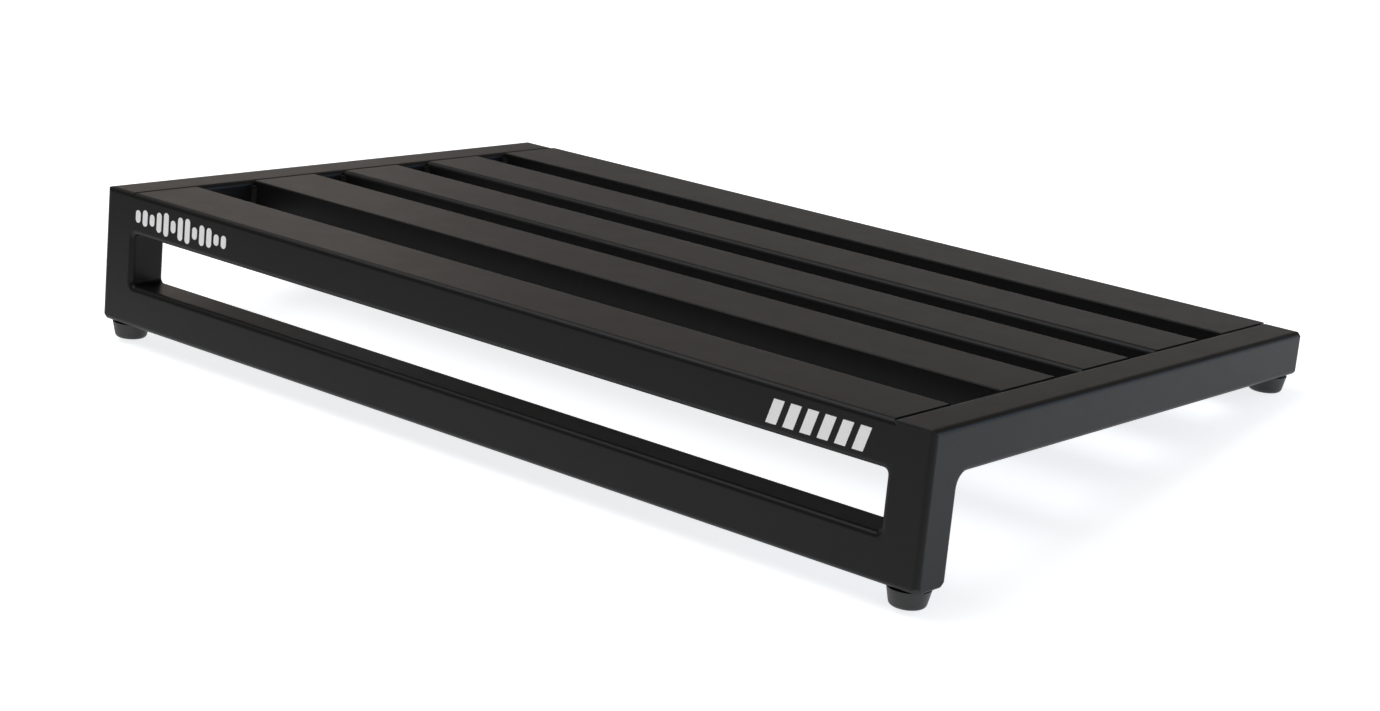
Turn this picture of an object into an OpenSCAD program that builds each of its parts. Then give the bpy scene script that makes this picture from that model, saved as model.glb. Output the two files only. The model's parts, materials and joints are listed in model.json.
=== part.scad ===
// Pedalboard: a welded frame of rectangular tube with a sloping slatted deck,
// two rear legs, a lower rear bar and four screwed-on rubber feet.
//
// The frame is drawn in deck coordinates and then tilted onto the floor:
//   x  across the board, 0 on its centre plane
//   y  along the slope of the deck, 0 at the rear edge, rising towards the front
//   z  square to the deck, 0 on the top of the rails, negative below it
// In the finished frame +Z is up, +Y points to the low front edge, and the origin
// is on the floor under the middle of the object. All sizes are in millimetres.

/* [Deck] */
// Width over the two side rails
frame_w = 609.6; // [420:0.1:900]
// Depth of the deck along its slope
deck_depth = 374.65; // [310:0.05:520]
// Width of each of the five deck rails
rail_w = 50.8; // [30:0.1:62]
// Gap between the rear deck rail and the next one, wider for plugs and leads
rear_gap = 44.45; // [20:0.05:60]

/* [Tubes] */
// Height of all tubes, and width of the square ones
tube = 25.4; // [18:0.1:31]
// Wall of every tube
wall = 1.6; // [1:0.1:2.5]
// Outer corner radius of the tubes
corner_r = 3.2; // [1.8:0.1:5]
// Outer corner radius of the second and the front deck rails
crisp_r = 1; // [0.6:0.1:3]

/* [Legs] */
// Length of the rear legs, square to the deck, from its top
leg_h = 82.55; // [66:0.05:130]
// Thickness of the plate that closes the lower end of each leg
leg_plate_t = 4.8; // [3:0.1:6.5]
// Radius ground on the outer lower corner of each leg
leg_round_r = 1.6; // [0.6:0.1:4]
// Thickness of the plate that closes the front end of each side rail
end_plate_t = 4.8; // [2:0.1:6.5]
// Radius ground on the edges of the front end plates
end_round_r = 4; // [1:0.1:5]
// Radius ground on the mitred corner where the left side rail meets its leg
left_mitre_r = 2.8; // [0.4:0.1:3]
// Radius ground on the mitred corner where the right side rail meets its leg
right_mitre_r = 0.8; // [0.4:0.1:3]

/* [Welds] */
// Size of the weld under each side rail, in its corner with the leg
leg_weld = 7.5; // [2:0.1:9]
// Size of the welds in the four corners of the rear window
window_weld = 2.6; // [1.5:0.1:6]
// Size of the welds between the deck rails and the side rails
rail_weld = 2.4; // [1:0.1:4]

/* [Feet] */
// Diameter of a foot where it meets the frame
foot_top_d = 22.8; // [18:0.1:25.4]
// Diameter of a foot at its tip, before its rim is rounded
foot_tip_d = 19.6; // [17:0.1:22]
// Height of a foot
foot_h = 10.6; // [8.4:0.1:16]
// Radius of the rim at the tip of a foot
foot_rim_r = 2.8; // [1:0.1:3]
// Radius of the gentle dome that a foot stands on
foot_dome_r = 36; // [25:1:60]
// Distance from the front edge of the deck back to the middle of a front foot
foot_inset = 12.7; // [11.5:0.1:60]
// Rubber left between the frame and the washer in a foot
foot_web = 3.4; // [2:0.1:5]

/* [Fasteners] */
// Thread diameter of the foot screws
thread_d = 4; // [3:0.5:5]
// Length of the foot screws under the head
screw_l = 12; // [10:1:16]
// Diameter of the screw heads
head_d = 8; // [6:0.1:9]
// Height of the screw heads
head_h = 2.6; // [1.8:0.1:3.5]
// Outer diameter of the washers
washer_d = 9.4; // [8:0.1:11]
// Thickness of the washers
washer_t = 1; // [0.6:0.1:1.6]
// Outer diameter of the barrel of a rivet nut, and of the hole it fills
nut_d = 6; // [5:0.1:8]
// Length of a rivet nut under its flange
nut_l = 10; // [8:0.5:14]
// Diameter of the flange of a rivet nut
nut_flange_d = 9.5; // [8:0.1:12]
// Thickness of the flange of a rivet nut, which holds the foot off the frame
nut_flange_t = 0.8; // [0.5:0.1:1.5]

/* [Hidden] */
$fn = 64;

coat = [0.13, 0.13, 0.14];
rubber = [0.05, 0.05, 0.05];
zinc = [0.72, 0.73, 0.75];
over = 1;              // how far a cutter runs past the face it cuts
arc_steps = 12;        // steps in the rim and in the dome of a foot
edge_land = 0.3;       // least flat edge left on a plate beside its rounding
ball_r = 0.75 * tube;  // radius, about a tube's centre, that the outer end corners are ground to
screw_gap = 0.05;      // radial clearance of the screws in the rivet nuts
washer_gap = 0.15;     // radial clearance round a washer and through it
nut_collar_h = 2.2;    // height of the crimped collar of a rivet nut
nut_collar_out = 1.5;  // how far the crimped collar stands out from the barrel
recess_w = 1;          // width of a slot of the cross recess in a screw head
recess_h = 1.4;        // depth of that recess
recess_span = 0.6;     // length of the recess, as a share of the head's diameter
head_crown = 0.6;      // share of the head's height that its edge is rounded over

half_w = frame_w / 2;
inner_x = half_w - tube;              // inner face of each side rail
inner_r_min = 0.2;                    // smallest inner corner radius of a tube
rail_n = 5;
front_gap = (deck_depth - rail_n * rail_w - rear_gap) / (rail_n - 2);
rail_pitch = rail_w + front_gap;
window_bottom = -leg_h + tube;        // top face of the lower rear bar
foot_x = half_w - tube / 2;
rear_foot_y = tube / 2;
front_foot_y = deck_depth - foot_inset;

// The floor touches the domes of the front and rear feet, so the slope of the
// deck follows from the two heights that the feet hang at.
slope = atan2(leg_h - tube, front_foot_y - rear_foot_y);
dome_z = foot_dome_r - foot_h - nut_flange_t;  // centre of a foot's dome, above its seat
floor_z = (dome_z - leg_h) * cos(slope) - rear_foot_y * sin(slope) - foot_dome_r;
rear_y = corner_r * cos(slope) - (leg_h - corner_r) * sin(slope) - corner_r;
front_y = max(front_edge_y(crisp_r), front_edge_y(end_round_r));

// Furthest forward point, once tilted, of a front top edge with radius r
function front_edge_y(r) = (deck_depth - r) * cos(slope) - r * sin(slope) + r;

// Rear edge of deck rail i, counted from 1 at the rear
function rail_y(i) = i == 1 ? 0 : rail_w + rear_gap + (i - 2) * rail_pitch;

// Corner radius of deck rail i
function rail_r(i) = (i == 2 || i == rail_n) ? crisp_r : corner_r;

// Point where a line from p touches the circle of radius r about c on its outer side
function tangent_point(p, c, r) =
    let (
        d = p - c,
        a = atan2(d.y, d.x) - acos(r / norm(d))
    )
    c + r * [cos(a), sin(a)];

// Direction at an angle measured from straight down towards the outside
function arc_point(angle) = [sin(angle), -cos(angle)];

// ---- Shared shapes ----

// Tilts the deck coordinates onto the floor and centres them
module on_floor() {
    translate([0, -(rear_y + front_y) / 2, -floor_z])
        rotate([-slope, 0, 0])
            children();
}

// Rectangle from the origin with rounded corners
module rounded_rect(w, h, r) {
    translate([r, 0])
        square([w - 2 * r, h]);
    translate([0, r])
        square([w, h - 2 * r]);
    for (x = [r, w - r], y = [r, h - r])
        translate([x, y])
            circle(r);
}

// Outline of a tube's wall
module tube_section(w, h, r) {
    difference() {
        rounded_rect(w, h, r);
        translate([wall, wall])
            rounded_rect(w - 2 * wall, h - 2 * wall, max(r - wall, inner_r_min));
    }
}

// Turns a section drawn in y and z so that it is swept along x
module along_x(length) {
    rotate([90, 0, 90])
        linear_extrude(length)
            children();
}

// Turns a section drawn in x and z so that it is swept along y
module along_y(length) {
    translate([0, length, 0])
        rotate([90, 0, 0])
            linear_extrude(length)
                children();
}

// Square corner of side s with a quarter circle taken out: a concave weld
module fillet_section(s) {
    difference() {
        square(s);
        translate([s, s])
            circle(s);
    }
}

// Wedge on the rear side of the mitre plane, where the leg stands
module mitre_wedge() {
    translate([-over, 0, 0])
        along_x(tube + 2 * over)
            polygon([
                [-over, over],
                [-over, -tube - over],
                [tube + over, -tube - over]
            ]);
}

// Cutter that rounds the mitred rear top edge on one side
module mitre_edge_cutter(s) {
    r = (s == "left") ? left_mitre_r : right_mitre_r;
    translate([-over, 0, 0])
        along_x(tube + 2 * over)
            difference() {
                translate([-over, -r])
                    square(r + over);
                translate([r, -r])
                    circle(r);
            }
}

// Cutter that grinds the outer corners of a tube's end to a ball about the origin.
// It works inside the block with that low corner and size.
module ball_cutter(low, size) {
    difference() {
        translate(low)
            cube(size);
        sphere(r = ball_r);
    }
}

// Mirrors a part drawn on the right across to the left
module side(s) {
    if (s == "left")
        mirror([1, 0, 0])
            children();
    else
        children();
}

// ---- Frame tubes ----

// Square tube down one side of the deck, mitred at the rear, open at the front
module side_rail(s) {
    color(coat)
        on_floor()
            side(s)
                difference() {
                    translate([inner_x, 0, -tube])
                        along_y(deck_depth - end_plate_t)
                            tube_section(tube, tube, corner_r);
                    translate([inner_x, 0, 0])
                        mitre_wedge();
                    translate([inner_x, 0, 0])
                        mitre_edge_cutter(s);
                    translate([foot_x, front_foot_y, -tube - over])
                        cylinder(d = nut_d, h = wall + 2 * over);
                }
}

// Square tube standing under the rear of a side rail, with a mitred top
module leg(s) {
    color(coat)
        on_floor()
            side(s)
                translate([inner_x, 0, 0])
                    difference() {
                        intersection() {
                            translate([0, 0, -leg_h + leg_plate_t])
                                linear_extrude(leg_h - leg_plate_t)
                                    tube_section(tube, tube, corner_r);
                            leg_side();
                        }
                        mitre_edge_cutter(s);
                    }
}

// Everything behind and below the mitre plane, down to the foot of the leg
module leg_side() {
    translate([-over, 0, 0])
        along_x(tube + 2 * over)
            polygon([
                [-over, over],
                [tube + over, -tube - over],
                [tube + over, -leg_h - over],
                [-over, -leg_h - over]
            ]);
}

// Bar between the feet of the two legs
module lower_rear_bar() {
    color(coat)
        on_floor()
            translate([-inner_x, 0, -leg_h])
                along_x(2 * inner_x)
                    tube_section(tube, tube, corner_r);
}

// Deck rail i, a flat tube that butts against both side rails
module deck_rail(i) {
    color(coat)
        on_floor()
            translate([-inner_x, rail_y(i), -tube])
                along_x(2 * inner_x)
                    tube_section(rail_w, tube, rail_r(i));
}

// ---- Plates that close the open tube ends ----

// Plate on the front end of a side rail, ground flush and rounded
module front_end_plate(s) {
    color(coat)
        on_floor()
            side(s)
                translate([inner_x, deck_depth - end_plate_t, -tube])
                    difference() {
                        intersection() {
                            along_y(end_plate_t)
                                rounded_rect(tube, tube, corner_r);
                            along_x(tube)
                                front_rounded(end_plate_t, tube, end_round_r);
                            linear_extrude(tube)
                                outer_corner_rounded(tube, end_plate_t, end_round_r);
                        }
                        translate([tube / 2, end_plate_t - tube / 2, tube / 2])
                            ball_cutter([0, 0, -tube], [tube, tube, 2 * tube]);
                    }
}

// Rectangle in y and z whose two front corners are rounded
module front_rounded(depth, height, r) {
    translate([-over, 0])
        intersection() {
            translate([-over, 0])
                square([depth + 2 * over, height]);
            translate([depth + over - height, 0])
                rounded_rect(height, height, min(r, depth - edge_land));
        }
}

// Rectangle in x and y whose front corner on the outer side is rounded
module outer_corner_rounded(width, depth, r) {
    q = min(r, depth - edge_land);
    square([width - q, depth]);
    square([width, depth - q]);
    translate([width - q, depth - q])
        circle(q);
}

// Plate in the lower end of a leg, ground round on its outer corner
module leg_end_plate(s) {
    color(coat)
        on_floor()
            side(s)
                translate([inner_x, 0, -leg_h])
                    difference() {
                        intersection() {
                            linear_extrude(leg_plate_t)
                                rounded_rect(tube, tube, corner_r);
                            along_x(tube)
                                bottom_rounded(tube, leg_plate_t, corner_r);
                            along_y(tube)
                                outer_bottom_rounded(tube, leg_plate_t, leg_round_r);
                        }
                        translate([tube / 2, tube / 2, tube / 2])
                            ball_cutter([0, -tube, -tube], [tube, 2 * tube, tube]);
                        translate([tube / 2, rear_foot_y, -over])
                            cylinder(d = nut_d, h = leg_plate_t + 2 * over);
                    }
}

// Rectangle in y and z whose two lower corners are rounded
module bottom_rounded(width, height, r) {
    q = min(r, height - edge_land);
    translate([0, q])
        square([width, height - q]);
    translate([q, 0])
        square([width - 2 * q, height]);
    for (y = [q, width - q])
        translate([y, q])
            circle(q);
}

// Rectangle in x and z whose lower corner on the outer side is rounded
module outer_bottom_rounded(width, height, r) {
    q = min(r, height - edge_land);
    translate([0, q])
        square([width, height - q]);
    square([width - q, height]);
    translate([width - q, q])
        circle(q);
}

// ---- Feet and their fasteners ----

// Puts its children on the seat of each foot that is asked for, facing down
module at_foot(s, end) {
    side(s)
        translate([foot_x, end == "rear" ? rear_foot_y : front_foot_y, end == "rear" ? -leg_h : -tube])
            children();
}

module at_all_feet() {
    for (s = ["left", "right"], end = ["rear", "front"])
        at_foot(s, end)
            children();
}

// Half outline of a foot: a tapered side, a rounded rim and a domed tip
module foot_outline() {
    rim_x = foot_tip_d / 2 - foot_rim_r;
    dome = [0, foot_dome_r - foot_h];
    rim = [rim_x, dome.y - sqrt(pow(foot_dome_r - foot_rim_r, 2) - rim_x * rim_x)];
    side_end = tangent_point([foot_top_d / 2, 0], rim, foot_rim_r);
    dome_angle = atan2(rim_x, dome.y - rim.y);
    rim_angle = atan2(side_end.y - rim.y, side_end.x - rim.x) + 90;
    polygon(concat(
        [[0, 0], [foot_top_d / 2, 0]],
        [for (k = [0 : arc_steps])
            rim + foot_rim_r * arc_point(rim_angle + (dome_angle - rim_angle) * k / arc_steps)],
        [for (k = [1 : arc_steps])
            dome + foot_dome_r * arc_point(dome_angle * (1 - k / arc_steps))]
    ));
}

// Rubber foot with a pocket for its washer and screw head
module foot(s, end) {
    pocket_d = washer_d + 2 * washer_gap;
    color(rubber)
        on_floor()
            at_foot(s, end)
                translate([0, 0, -nut_flange_t])
                    difference() {
                        rotate_extrude()
                            foot_outline();
                        translate([0, 0, -foot_h - over])
                            cylinder(d = pocket_d, h = foot_h + over - foot_web);
                        translate([0, 0, -foot_h])
                            cylinder(d = thread_d + 2 * washer_gap, h = foot_h + over);
                    }
}

// Washer at the top of the pocket in each foot
module foot_washers() {
    color(zinc)
        on_floor()
            at_all_feet()
                translate([0, 0, -nut_flange_t - foot_web - washer_t])
                    difference() {
                        cylinder(d = washer_d, h = washer_t);
                        translate([0, 0, -over])
                            cylinder(d = thread_d + 2 * washer_gap, h = washer_t + 2 * over);
                    }
}

// Pan-head screw, head down, through each washer and foot into its rivet nut
module foot_screws() {
    color(zinc)
        on_floor()
            at_all_feet()
                translate([0, 0, -nut_flange_t - foot_web - washer_t])
                    foot_screw();
}

module foot_screw() {
    head_round = head_h * head_crown;
    cylinder(d = thread_d, h = screw_l);
    difference() {
        translate([0, 0, -head_h])
            rotate_extrude()
                intersection() {
                    translate([-head_d / 2, 0])
                        rounded_rect(head_d, 2 * head_h, head_round);
                    square([head_d, head_h]);
                }
        for (turn = [0, 90])
            rotate([0, 0, turn])
                translate([-head_d * recess_span / 2, -recess_w / 2, -head_h - over])
                    cube([head_d * recess_span, recess_w, recess_h + over]);
    }
}

// Rivet nut in each foot hole: a flange outside, a barrel and a crimped collar inside
module rivet_nuts() {
    color(zinc)
        on_floor()
            for (s = ["left", "right"], end = ["rear", "front"])
                at_foot(s, end)
                    rivet_nut(end == "rear" ? leg_plate_t : wall);
}

module rivet_nut(grip) {
    difference() {
        union() {
            translate([0, 0, -nut_flange_t])
                cylinder(d = nut_flange_d, h = nut_flange_t);
            cylinder(d = nut_d, h = nut_l);
            translate([0, 0, grip])
                cylinder(d = nut_d + 2 * nut_collar_out, h = nut_collar_h);
        }
        translate([0, 0, -nut_flange_t - over])
            cylinder(d = thread_d + 2 * screw_gap, h = nut_l + nut_flange_t + 2 * over);
    }
}

// ---- Welds ----

// Upright welds in the deck gaps, and the welds under the rail ends
module deck_rail_welds() {
    color(coat)
        on_floor()
            for (s = ["left", "right"])
                side(s)
                    for (i = [1 : rail_n]) {
                        rail_underside_weld(i);
                        if (i > 1)
                            upright_weld(rail_y(i), 1);
                        if (i < rail_n)
                            upright_weld(rail_y(i) + rail_w, 0);
                    }
}

// Weld up the corner between a side rail and the face of a deck rail at y.
// rear is 1 on a rail's rear face and 0 on its front face.
module upright_weld(y, rear) {
    translate([inner_x, y, -tube + corner_r])
        mirror([1, 0, 0])
            mirror([0, rear, 0])
                linear_extrude(tube - 2 * corner_r)
                    fillet_section(rail_weld);
}

// Weld that fills the groove under the end of deck rail i
module rail_underside_weld(i) {
    r = rail_r(i);
    start = (i == 1) ? tube + leg_weld : rail_y(i) + r;
    end = rail_y(i) + rail_w - r;
    translate([inner_x, start, -tube])
        along_y(end - start)
            fillet_section(corner_r);
}

// Welds round the legs: the corners under the side rails, the corners of the rear
// window, and the grooves beside the legs filled and ground flush
module leg_welds() {
    color(coat)
        on_floor()
            for (s = ["left", "right"])
                side(s) {
                    side_rail_corner_weld();
                    window_corner_weld(-tube, 1);
                    window_corner_weld(window_bottom, 0);
                    rail_groove_fill();
                    bar_groove_fill(0);
                    bar_groove_fill(1);
                }
}

// Weld in the corner between the underside of a side rail and the front of its leg
module side_rail_corner_weld() {
    translate([inner_x + corner_r, tube, -tube])
        along_x(tube - 2 * corner_r)
            mirror([0, 1])
                fillet_section(leg_weld);
}

// Weld in a corner of the rear window. top is 1 under the deck rail, 0 on the bar.
module window_corner_weld(z, top) {
    translate([inner_x, corner_r, z])
        mirror([1, 0, 0])
            mirror([0, 0, top])
                along_y(tube - 2 * corner_r)
                    fillet_section(window_weld);
}

// Filled groove between the rear face of the rear deck rail and the leg, which
// carries the rail's rounded edges on to the leg
module rail_groove_fill() {
    translate([inner_x, 0, -tube])
        intersection() {
            linear_extrude(tube)
                fillet_section(corner_r);
            along_x(corner_r)
                rounded_rect(rail_w, tube, corner_r);
        }
}

// Filled groove between the lower bar and the leg, behind or in front, which
// carries the bar's rounded edges on to the leg
module bar_groove_fill(front) {
    translate([inner_x, front * tube, -leg_h])
        mirror([0, front, 0])
            intersection() {
                linear_extrude(tube)
                    fillet_section(corner_r);
                along_x(corner_r)
                    rounded_rect(tube, tube, corner_r);
            }
}

side_rail("left");  // left_side_rail
side_rail("right");  // right_side_rail
leg("left");  // left_leg
leg("right");  // right_leg
lower_rear_bar();
deck_rail(1);  // deck_rail_1
deck_rail(2);  // deck_rail_2
deck_rail(3);  // deck_rail_3
deck_rail(4);  // deck_rail_4
deck_rail(5);  // deck_rail_5
front_end_plate("left");  // left_front_end_plate
front_end_plate("right");  // right_front_end_plate
leg_end_plate("left");  // left_leg_end_plate
leg_end_plate("right");  // right_leg_end_plate
foot("left", "rear");  // rear_left_foot
foot("right", "rear");  // rear_right_foot
foot("left", "front");  // front_left_foot
foot("right", "front");  // front_right_foot
foot_washers();
foot_screws();
rivet_nuts();
deck_rail_welds();
leg_welds();
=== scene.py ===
"""Looks for the pedalboard: materials, printed marks, weld beads, floor, lights and camera."""

import json
import math
import random

import bmesh
import bpy
from mathutils import Euler, Matrix, Vector


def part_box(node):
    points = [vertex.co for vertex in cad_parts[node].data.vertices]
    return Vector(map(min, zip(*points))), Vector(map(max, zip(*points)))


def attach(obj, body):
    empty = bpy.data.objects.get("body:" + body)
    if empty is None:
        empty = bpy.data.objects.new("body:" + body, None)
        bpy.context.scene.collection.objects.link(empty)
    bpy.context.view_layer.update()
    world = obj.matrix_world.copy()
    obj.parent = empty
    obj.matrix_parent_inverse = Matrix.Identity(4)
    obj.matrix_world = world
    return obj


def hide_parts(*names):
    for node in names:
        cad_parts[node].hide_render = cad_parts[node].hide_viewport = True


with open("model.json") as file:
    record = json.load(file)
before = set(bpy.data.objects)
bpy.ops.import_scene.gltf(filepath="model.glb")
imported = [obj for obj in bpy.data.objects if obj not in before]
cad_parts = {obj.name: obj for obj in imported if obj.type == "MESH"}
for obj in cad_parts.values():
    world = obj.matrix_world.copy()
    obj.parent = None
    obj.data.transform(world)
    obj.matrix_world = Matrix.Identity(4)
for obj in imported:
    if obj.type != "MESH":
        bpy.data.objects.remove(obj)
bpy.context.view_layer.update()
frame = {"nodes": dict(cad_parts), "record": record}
NODES = frame["nodes"]
MM = 0.001

# ---- The frame's own directions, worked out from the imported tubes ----
RAIL_W = 50.8 * MM       # width of a deck rail
TUBE = 25.4 * MM         # height of every tube
LEG_H = 82.55 * MM       # length of the legs
CORNER = 3.2 * MM        # corner radius of the tubes


def middle(node):
    """Centre of a node's box."""
    low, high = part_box(node)
    return (low + high) / 2


step = middle("deck_rail_4") - middle("deck_rail_3")
AHEAD = step.normalized()                   # down the slope of the deck, to the front
OUTWARD = Vector((0, -AHEAD.z, AHEAD.y))    # square to the deck, upwards
ACROSS = Vector((1, 0, 0))
REAR_TOP = middle("deck_rail_1") - AHEAD * (RAIL_W / 2) + OUTWARD * (TUBE / 2)
INNER_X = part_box("deck_rail_1")[1].x        # inner face of the right side rail


def deck_point(x, along, out):
    """A point x across, along the slope from the rear edge, and out from the deck's top."""
    return REAR_TOP + ACROSS * x + AHEAD * along + OUTWARD * out


# ---- Node helpers ----
class Graph:
    """Short names for the nodes that the materials are built from."""

    def __init__(self, name):
        self.material = bpy.data.materials.new(name)
        self.material.use_nodes = True
        self.tree = self.material.node_tree
        self.shader = self.tree.nodes["Principled BSDF"]
        self.place = self.tree.nodes.new("ShaderNodeTexCoord").outputs["Object"]

    def link(self, value, socket):
        if isinstance(value, bpy.types.NodeSocket):
            self.tree.links.new(value, socket)
        else:
            socket.default_value = value

    def noise(self, per_metre, detail=2.0, roughness=0.5):
        node = self.tree.nodes.new("ShaderNodeTexNoise")
        self.link(self.place, node.inputs["Vector"])
        node.inputs["Scale"].default_value = per_metre
        node.inputs["Detail"].default_value = detail
        node.inputs["Roughness"].default_value = roughness
        return node.outputs["Fac"]

    def ramp(self, value, low, high, out_low=0.0, out_high=1.0):
        node = self.tree.nodes.new("ShaderNodeMapRange")
        self.link(value, node.inputs["Value"])
        node.inputs["From Min"].default_value = low
        node.inputs["From Max"].default_value = high
        node.inputs["To Min"].default_value = out_low
        node.inputs["To Max"].default_value = out_high
        return node.outputs["Result"]

    def math(self, operation, a, b=0.0):
        node = self.tree.nodes.new("ShaderNodeMath")
        node.operation = operation
        self.link(a, node.inputs[0])
        self.link(b, node.inputs[1])
        return node.outputs[0]

    def mix(self, factor, a, b):
        node = self.tree.nodes.new("ShaderNodeMix")
        node.data_type = "RGBA"
        self.link(factor, node.inputs["Factor"])
        self.link(a, node.inputs["A"])
        self.link(b, node.inputs["B"])
        return node.outputs["Result"]

    def bump(self, height, distance, strength=1.0, normal=None):
        node = self.tree.nodes.new("ShaderNodeBump")
        self.link(height, node.inputs["Height"])
        node.inputs["Distance"].default_value = distance
        node.inputs["Strength"].default_value = strength
        if normal is not None:
            self.link(normal, node.inputs["Normal"])
        return node.outputs["Normal"]

    def specks(self, per_metre, size, share):
        """Sparse round specks: size is their radius in cells, share the part of cells with one."""
        node = self.tree.nodes.new("ShaderNodeTexVoronoi")
        self.link(self.place, node.inputs["Vector"])
        node.inputs["Scale"].default_value = per_metre
        dot = self.ramp(node.outputs["Distance"], size, size * 0.6)
        split = self.tree.nodes.new("ShaderNodeSeparateColor")
        self.link(node.outputs["Color"], split.inputs["Color"])
        chosen = self.math("LESS_THAN", split.outputs[0], share)
        return self.math("MULTIPLY", dot, chosen)

    def facing(self, direction):
        """Cosine between the surface's own direction and a fixed one."""
        node = self.tree.nodes.new("ShaderNodeVectorMath")
        node.operation = "DOT_PRODUCT"
        self.link(self.tree.nodes.new("ShaderNodeNewGeometry").outputs["Normal"], node.inputs[0])
        node.inputs[1].default_value = direction
        return node.outputs["Value"]

    def along(self, direction):
        """Distance from the origin along a direction."""
        node = self.tree.nodes.new("ShaderNodeVectorMath")
        node.operation = "DOT_PRODUCT"
        self.link(self.place, node.inputs[0])
        node.inputs[1].default_value = direction
        return node.outputs["Value"]

    def set(self, socket, value):
        self.link(value, self.shader.inputs[socket])


def shade(*values):
    """Opaque colour from its red, green and blue."""
    return (*values, 1.0)


# ---- Materials ----
COAT_ROUGHNESS = 0.39
COAT_GLOSS = 0.20         # specular level of the powder coat
TABLE_GLOW = 0.80         # the floor's own light, where 1 is white
REAR_LEFT = (-0.75, -0.66, 0)   # the way in which that light fades
GLOW_END = 0.52           # metres that way from the origin where it starts to fade
DIM_START = 0.82          # metres that way where it has faded


def powder_coat():
    """Satin black powder coat: fine orange peel, a little cloudiness, and a dusting that lightens and
    warms what faces up, part real dust and part painted warm light on the top faces.
    """
    g = Graph("powder_coat_black")
    cloud = g.ramp(g.noise(14, 3), 0.3, 0.7)
    grain = g.noise(2200, 2, 0.6)
    peel = g.noise(700, 2)
    base = g.mix(cloud, shade(0.0056, 0.0056, 0.0059), shade(0.0064, 0.0063, 0.0064))
    faces_up = g.ramp(g.facing(OUTWARD), 0.80, 0.97)
    # Painted light: the up-facing faces get a lighter, warm colour, part real dust and part painted
    # warm light from above.
    lighter_patches = g.math("MULTIPLY", g.ramp(grain, 0.46, 0.72), faces_up)
    base = g.mix(lighter_patches, base, shade(0.0255, 0.0203, 0.0160))
    speck = g.math("MULTIPLY", g.specks(420, 0.16, 0.012), faces_up)
    g.set("Base Color", g.mix(speck, base, shade(0.16, 0.14, 0.11)))
    rough = g.ramp(g.noise(60, 2), 0.3, 0.7, COAT_ROUGHNESS - 0.012, COAT_ROUGHNESS + 0.012)
    g.set("Roughness", g.math("ADD", rough, g.ramp(grain, 0.3, 0.8, -0.03, 0.07)))
    g.shader.inputs["Specular IOR Level"].default_value = COAT_GLOSS
    fine = g.bump(grain, 0.00003, 0.5)
    g.set("Normal", g.bump(peel, 0.00007, 0.4, fine))
    return g.material


def foot_rubber():
    """Moulded black rubber, a little dusty."""
    g = Graph("foot_rubber_black")
    lighter_patches = g.ramp(g.noise(180, 4, 0.6), 0.45, 0.8, 0.0, 0.5)
    g.set("Base Color", g.mix(lighter_patches, shade(0.011, 0.011, 0.012), shade(0.034, 0.033, 0.032)))
    g.set("Roughness", g.ramp(g.noise(90, 3), 0.3, 0.7, 0.42, 0.6))
    g.set("Normal", g.bump(g.noise(900, 3), 0.00006, 0.4))
    return g.material


def zinc_plate():
    """Bright zinc plate with fine mottling."""
    g = Graph("zinc_plate")
    mottle = g.noise(700, 3)
    g.set("Base Color", g.mix(mottle, shade(0.50, 0.51, 0.53), shade(0.68, 0.68, 0.68)))
    g.shader.inputs["Metallic"].default_value = 1.0
    g.set("Roughness", g.ramp(mottle, 0.3, 0.7, 0.22, 0.38))
    g.set("Normal", g.bump(g.noise(2500, 2), 0.00002, 0.4))
    return g.material


def print_ink():
    """Thin matt white ink, with the coat's texture showing through."""
    g = Graph("print_ink_white")
    grain = g.noise(1500, 2, 0.6)
    wear = g.ramp(grain, 0.35, 0.75)
    g.set("Base Color", g.mix(wear, shade(0.97, 0.97, 0.97), shade(0.90, 0.90, 0.90)))
    g.set("Roughness", g.ramp(g.noise(400, 2), 0.3, 0.7, 0.5, 0.62))
    g.set("Normal", g.bump(grain, 0.00003, 0.4))
    return g.material


def floor_sheet():
    """Matt white sheet over a light table, which keeps the shadows faint and fades out of view."""
    g = Graph("studio_sheet")
    tone = g.noise(1.5, 2)
    g.set("Base Color", g.mix(tone, shade(0.80, 0.80, 0.80), shade(0.82, 0.82, 0.82)))
    g.set("Roughness", g.ramp(g.noise(300, 2), 0.3, 0.7, 0.85, 0.95))
    g.shader.inputs["Specular IOR Level"].default_value = 0.1
    g.shader.inputs["Emission Color"].default_value = shade(0.97, 0.985, 1.0)
    distance = g.along(REAR_LEFT)
    g.set("Emission Strength", g.ramp(distance, GLOW_END, DIM_START, TABLE_GLOW, TABLE_GLOW * 0.08))
    return g.material


def coat_the_frame():
    """Gives every CAD node its finished material."""
    finishes = {"powder_coat": powder_coat(), "foot_rubber": foot_rubber(), "zinc_steel": zinc_plate()}
    for part in frame["record"]["subparts"]:
        for slot in NODES[part["node"]].material_slots:
            slot.material = finishes[part["material_slot"]]
    return finishes


# ---- Mesh pieces ----
def finish_piece(name, build, material):
    """Turns a bmesh into a piece that rides on the frame."""
    bmesh.ops.recalc_face_normals(build, faces=build.faces)
    mesh = bpy.data.meshes.new(name)
    build.to_mesh(mesh)
    build.free()
    mesh.materials.append(material)
    piece = bpy.data.objects.new(name, mesh)
    bpy.context.scene.collection.objects.link(piece)
    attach(piece, "root")
    return piece


def smooth_by_angle(piece, degrees):
    """Smooth shading that keeps edges sharper than the angle crisp."""
    piece.data.shade_smooth()
    piece.data.set_sharp_from_angle(angle=math.radians(degrees))


def skin_rings(build, rings):
    """Closed tube of faces through rings of points, capped at both ends."""
    loops = [[build.verts.new(point) for point in ring] for ring in rings]
    for one, two in zip(loops, loops[1:]):
        for k in range(len(one)):
            n = (k + 1) % len(one)
            build.faces.new((one[k], one[n], two[n], two[k]))
    build.faces.new(loops[0])
    build.faces.new(loops[-1])


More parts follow.
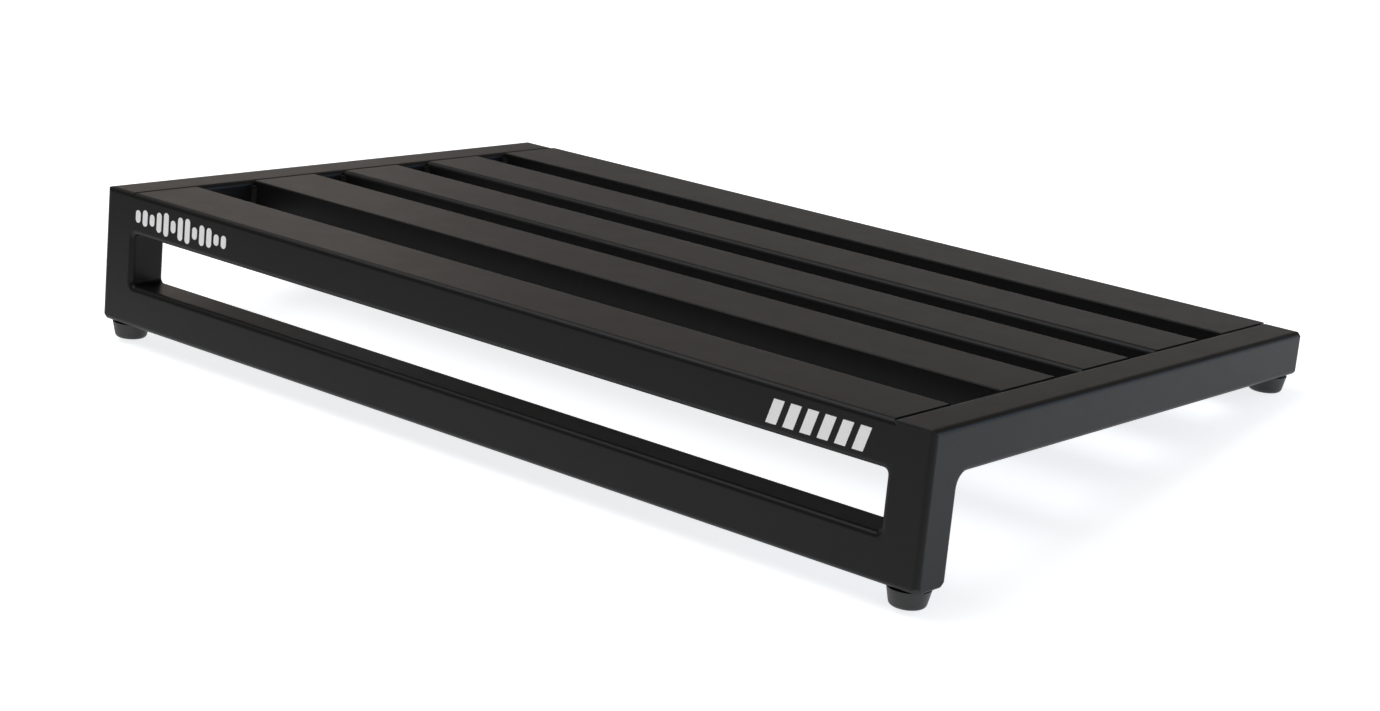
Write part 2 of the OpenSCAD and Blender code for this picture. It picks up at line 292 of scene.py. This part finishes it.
# ---- Weld beads ----
ROOT = 0.5 * MM           # how far a bead sinks into the metal behind it
RIPPLE = 2.0 * MM         # length of one ripple of a bead
RINGS_A_RIPPLE = 6
OUTLINE_STEPS = 8
UPRIGHT_BEAD = 2.3 * MM   # leg of the beads up the rail ends
UNDER_BEAD_W = 5.6 * MM   # width of the beads along the rail ends underneath
UNDER_BEAD_H = 1.1 * MM


def corner_outline(size):
    """Section of a bead in a square corner, slightly hollow, with its root in the metal."""
    points = []
    for k in range(OUTLINE_STEPS + 1):
        turn = math.pi / 2 * k / OUTLINE_STEPS
        bulge = 1 - 0.30 * math.sin(2 * turn)
        points.append((size * bulge * math.cos(turn), size * bulge * math.sin(turn)))
    return [(size, -ROOT)] + points + [(-ROOT, size), (-ROOT, -ROOT)]


def seam_outline(width, height):
    """Section of a bead that lies along a seam and stands a little proud of it."""
    points = []
    for k in range(OUTLINE_STEPS + 1):
        turn = math.pi * k / OUTLINE_STEPS
        points.append((width / 2 * math.cos(turn), height * math.sin(turn)))
    return [(width / 2, -ROOT)] + points + [(-width / 2, -ROOT)]


def bead(build, start, end, across, out, outline, chance):
    """Rippled weld bead from start to end. across and out span its section."""
    run = end - start
    length = run.length
    ahead = run.normalized()
    ripples = max(2, round(length / RIPPLE))
    count = ripples * RINGS_A_RIPPLE
    sizes = [chance.uniform(0.93, 1.05) for _ in range(ripples + 1)]
    widest = max(abs(u) for u, v in outline)
    rings = []
    for k in range(count + 1):
        part = k / RINGS_A_RIPPLE
        phase = part - math.floor(part)
        size = sizes[min(int(part), ripples)] * (1 + 0.10 * math.sin(math.pi * phase) ** 0.6)
        edge = min(k, count - k) / (0.8 * RINGS_A_RIPPLE)
        size *= math.sqrt(max(0.08, 1 - max(0.0, 1 - edge) ** 2))
        ring = []
        for u, v in outline:
            lag = 0.35 * RIPPLE * (1 - (u / widest) ** 2)
            place = min(max(length * k / count + lag, 0), length)
            ring.append(start + ahead * place + across * (u * size) + out * (v * size))
        rings.append(ring)
    skin_rings(build, rings)


def rail_start(i):
    """Distance of deck rail i from the rear edge, along the slope."""
    return (middle(f"deck_rail_{i}") - middle("deck_rail_1")).dot(AHEAD)


def deck_rail_beads(coat):
    """Beads up the rail ends in the deck gaps, and along the rail ends underneath."""
    build = bmesh.new()
    chance = random.Random(11)
    upright = corner_outline(UPRIGHT_BEAD)
    under = seam_outline(UNDER_BEAD_W, UNDER_BEAD_H)
    for side in (-1, 1):
        inward = ACROSS * -side
        for i in range(1, 6):
            rear = rail_start(i)
            front = rear + RAIL_W
            for along, out, wanted in ((rear, -AHEAD, i > 1), (front, AHEAD, i < 5)):
                if wanted:
                    low = deck_point(side * INNER_X, along, -TUBE + CORNER)
                    high = deck_point(side * INNER_X, along, -CORNER * 0.9)
                    bead(build, low, high, inward, out, upright, chance)
            first = TUBE + LEG_WELD if i == 1 else rear + CORNER
            seam_x = side * (INNER_X + CORNER * 0.35)
            bead(
                build, deck_point(seam_x, first, -TUBE), deck_point(seam_x, front - CORNER, -TUBE),
                inward, -OUTWARD, under, chance,
            )
    piece = finish_piece("deck_rail_weld_beads", build, coat)
    smooth_by_angle(piece, 50)
    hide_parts("deck_rail_welds")


# ---- Ground welds that blend one tube into another ----
LEG_WELD = 7.5 * MM       # radius of the weld under each side rail
WINDOW_WELD = 2.7 * MM    # radius of the welds in the corners of the rear window
FLUSH = 0.02 * MM         # how far a blend stays behind the faces that it runs into
BLEND_STEPS = 12


def blend_outline(width, radius):
    """Outline of a tube's edge facing a weld: how far along the axis, how far from the centre."""
    points = [(FLUSH, radius + 2 * CORNER)]
    for k in range(BLEND_STEPS + 1):
        turn = math.pi / 2 * k / BLEND_STEPS
        points.append((FLUSH + CORNER * (1 - math.cos(turn)), radius + CORNER * (1 - math.sin(turn))))
    points += [(width - along, far) for along, far in reversed(points)]
    return points


def blend(build, centre, toward_a, toward_b, axis, width, radius):
    """Concave corner weld with the tube's rounded edges carried round it."""
    rings = []
    for k in range(BLEND_STEPS + 1):
        turn = math.pi / 2 * k / BLEND_STEPS
        out = toward_a * math.cos(turn) + toward_b * math.sin(turn)
        rings.append([centre + axis * along + out * far for along, far in blend_outline(width, radius)])
    skin_rings(build, rings)


def leg_blends(coat):
    """Welds under the side rails and in the corners of the rear window, ground smooth."""
    build = bmesh.new()
    inset = 4 * FLUSH
    for side in (-1, 1):
        outward = ACROSS * side
        under_rail = deck_point(side * INNER_X, TUBE + LEG_WELD, -TUBE - LEG_WELD)
        blend(build, under_rail, -AHEAD, OUTWARD, outward, TUBE, LEG_WELD - inset)
        x = side * (INNER_X - WINDOW_WELD)
        reach = WINDOW_WELD - inset
        top = deck_point(x, 0, -TUBE - WINDOW_WELD)
        blend(build, top, outward, OUTWARD, AHEAD, TUBE, reach)
        bottom = deck_point(x, 0, -LEG_H + TUBE + WINDOW_WELD)
        blend(build, bottom, outward, -OUTWARD, AHEAD, TUBE, reach)
    piece = finish_piece("leg_weld_blends", build, coat)
    smooth_by_angle(piece, 40)


# ---- Printed marks on the rear face ----
INK = 0.06 * MM           # thickness of the ink
ARC_STEPS = 10
WAVE_BARS = 13            # upright bars in the left mark
WAVE_X = -275 * MM        # middle of the first one
WAVE_Z = -13.2 * MM       # height of their middles
WAVE_PITCH = 6.4 * MM
WAVE_W = 4.4 * MM
STRIPES = 6               # leaning stripes in the right mark
STRIPE_X = 205 * MM       # lower left corner of the first one
STRIPE_Z = -13.8 * MM
STRIPE_PITCH = 10.6 * MM
STRIPE_W = 6.6 * MM
STRIPE_H = 13.0 * MM
STRIPE_LEAN = 4.0 * MM


def print_shape(build, outline):
    """Raises a flat outline of ink on the rear face. outline holds x and height pairs."""
    back = [build.verts.new(deck_point(x, FLUSH, z)) for x, z in outline]
    front = [build.verts.new(deck_point(x, -INK, z)) for x, z in outline]
    build.faces.new(back)
    build.faces.new(front)
    for k in range(len(outline)):
        n = (k + 1) % len(outline)
        build.faces.new((back[k], back[n], front[n], front[k]))


def upright_bar(x, middle_z, width, height):
    """Bar with round ends."""
    r = width / 2
    half = height / 2 - r
    top = []
    for k in range(ARC_STEPS + 1):
        turn = math.pi * k / ARC_STEPS
        top.append((x + r * math.cos(turn), middle_z + half + r * math.sin(turn)))
    return top + [(2 * x - px, 2 * middle_z - pz) for px, pz in top]


def leaning_bar(x, middle_z, width, height, lean):
    """Bar with flat ends that leans over."""
    low, high = middle_z - height / 2, middle_z + height / 2
    return [(x, low), (x + width, low), (x + width + lean, high), (x + lean, high)]


def printed_marks(ink):
    """Plain white bars at both ends of the rear face: a sound-wave row and leaning stripes."""
    build = bmesh.new()
    for k in range(WAVE_BARS):
        swell = math.sin(math.pi * (k + 0.8) / (WAVE_BARS + 0.6))
        height = (6.4 + 9.6 * abs(math.sin(0.9 + 1.05 * k)) * swell) * MM
        print_shape(build, upright_bar(WAVE_X + k * WAVE_PITCH, WAVE_Z, WAVE_W, height))
    for k in range(STRIPES):
        x = STRIPE_X + k * STRIPE_PITCH
        print_shape(build, leaning_bar(x, STRIPE_Z, STRIPE_W, STRIPE_H, STRIPE_LEAN))
    finish_piece("printed_marks", build, ink)


# ---- Studio ----
def floor():
    """Flat sheet under the feet, wide enough to fill the picture."""
    bpy.ops.mesh.primitive_grid_add(x_subdivisions=4, y_subdivisions=4, size=16)
    paper = bpy.context.object
    paper.name = "studio_floor"
    paper.data.materials.append(floor_sheet())


def soft_box(name, place, aim, size, power, colour):
    """Rectangular lamp at a place, turned to its aim and hidden from the camera."""
    lamp = bpy.data.lights.new(name, "AREA")
    lamp.shape = "RECTANGLE"
    lamp.size, lamp.size_y = size
    lamp.energy = power
    lamp.color = colour
    holder = bpy.data.objects.new(name, lamp)
    holder.location = place
    holder.rotation_euler = (Vector(aim) - Vector(place)).to_track_quat("-Z", "Y").to_euler()
    holder.visible_camera = False
    bpy.context.scene.collection.objects.link(holder)


def lights():
    """Overhead box, warm panel beyond the left end, blue one beyond the right end, and a dim sky."""
    soft_box("overhead", (-0.80, -0.25, 2.1), (0, 0, 0), (1.9, 1.9), 27, (0.92, 0.95, 1.0))
    soft_box("far_left", (-3.0, 1.5, 0.7), (0, 0, 0), (2.2, 1.2), 3.6, (1.0, 0.88, 0.78))
    soft_box("right_end", (2.6, 1.8, 0.7), (0, 0, 0.05), (2.2, 1.0), 24, (0.42, 0.70, 1.0))
    world = bpy.data.worlds.new("studio")
    world.use_nodes = True
    backdrop = world.node_tree.nodes["Background"]
    backdrop.inputs["Color"].default_value = (1.0, 0.89, 0.80, 1)
    backdrop.inputs["Strength"].default_value = 0.20
    bpy.context.scene.world = world


# ---- Camera ----
VIEW_AZIMUTH = 40.05      # degrees, from looking along +Y towards the left
VIEW_HEIGHT = 21.43       # degrees above the floor
VIEW_ROLL = -0.57         # degrees, a slight lean of the photographer's
VIEW_DISTANCE = 1.5945    # metres from the aim
VIEW_AIM = Vector((0.0119, -0.0091, 0.0101))
LENS = 70.4               # mm, on a 36 mm wide sensor


def camera():
    """Camera at the viewing angle, looking at VIEW_AIM."""
    view = bpy.data.cameras.new("view")
    view.lens = LENS
    view.sensor_width = 36
    view.sensor_fit = "HORIZONTAL"
    holder = bpy.data.objects.new("view", view)
    azimuth, height = math.radians(VIEW_AZIMUTH), math.radians(VIEW_HEIGHT)
    back = Vector((
        math.sin(azimuth) * math.cos(height),
        -math.cos(azimuth) * math.cos(height),
        math.sin(height),
    ))
    turn = Euler((math.pi / 2 - height, 0, azimuth)).to_matrix()
    turn = turn @ Matrix.Rotation(math.radians(VIEW_ROLL), 3, "Z")
    holder.matrix_world = Matrix.Translation(VIEW_AIM + back * VIEW_DISTANCE) @ turn.to_4x4()
    bpy.context.scene.collection.objects.link(holder)
    bpy.context.scene.camera = holder


camera()
finishes = coat_the_frame()
deck_rail_beads(finishes["powder_coat"])
leg_blends(finishes["powder_coat"])
printed_marks(print_ink())
floor()
lights()
bpy.context.scene.view_settings.view_transform = "Standard"
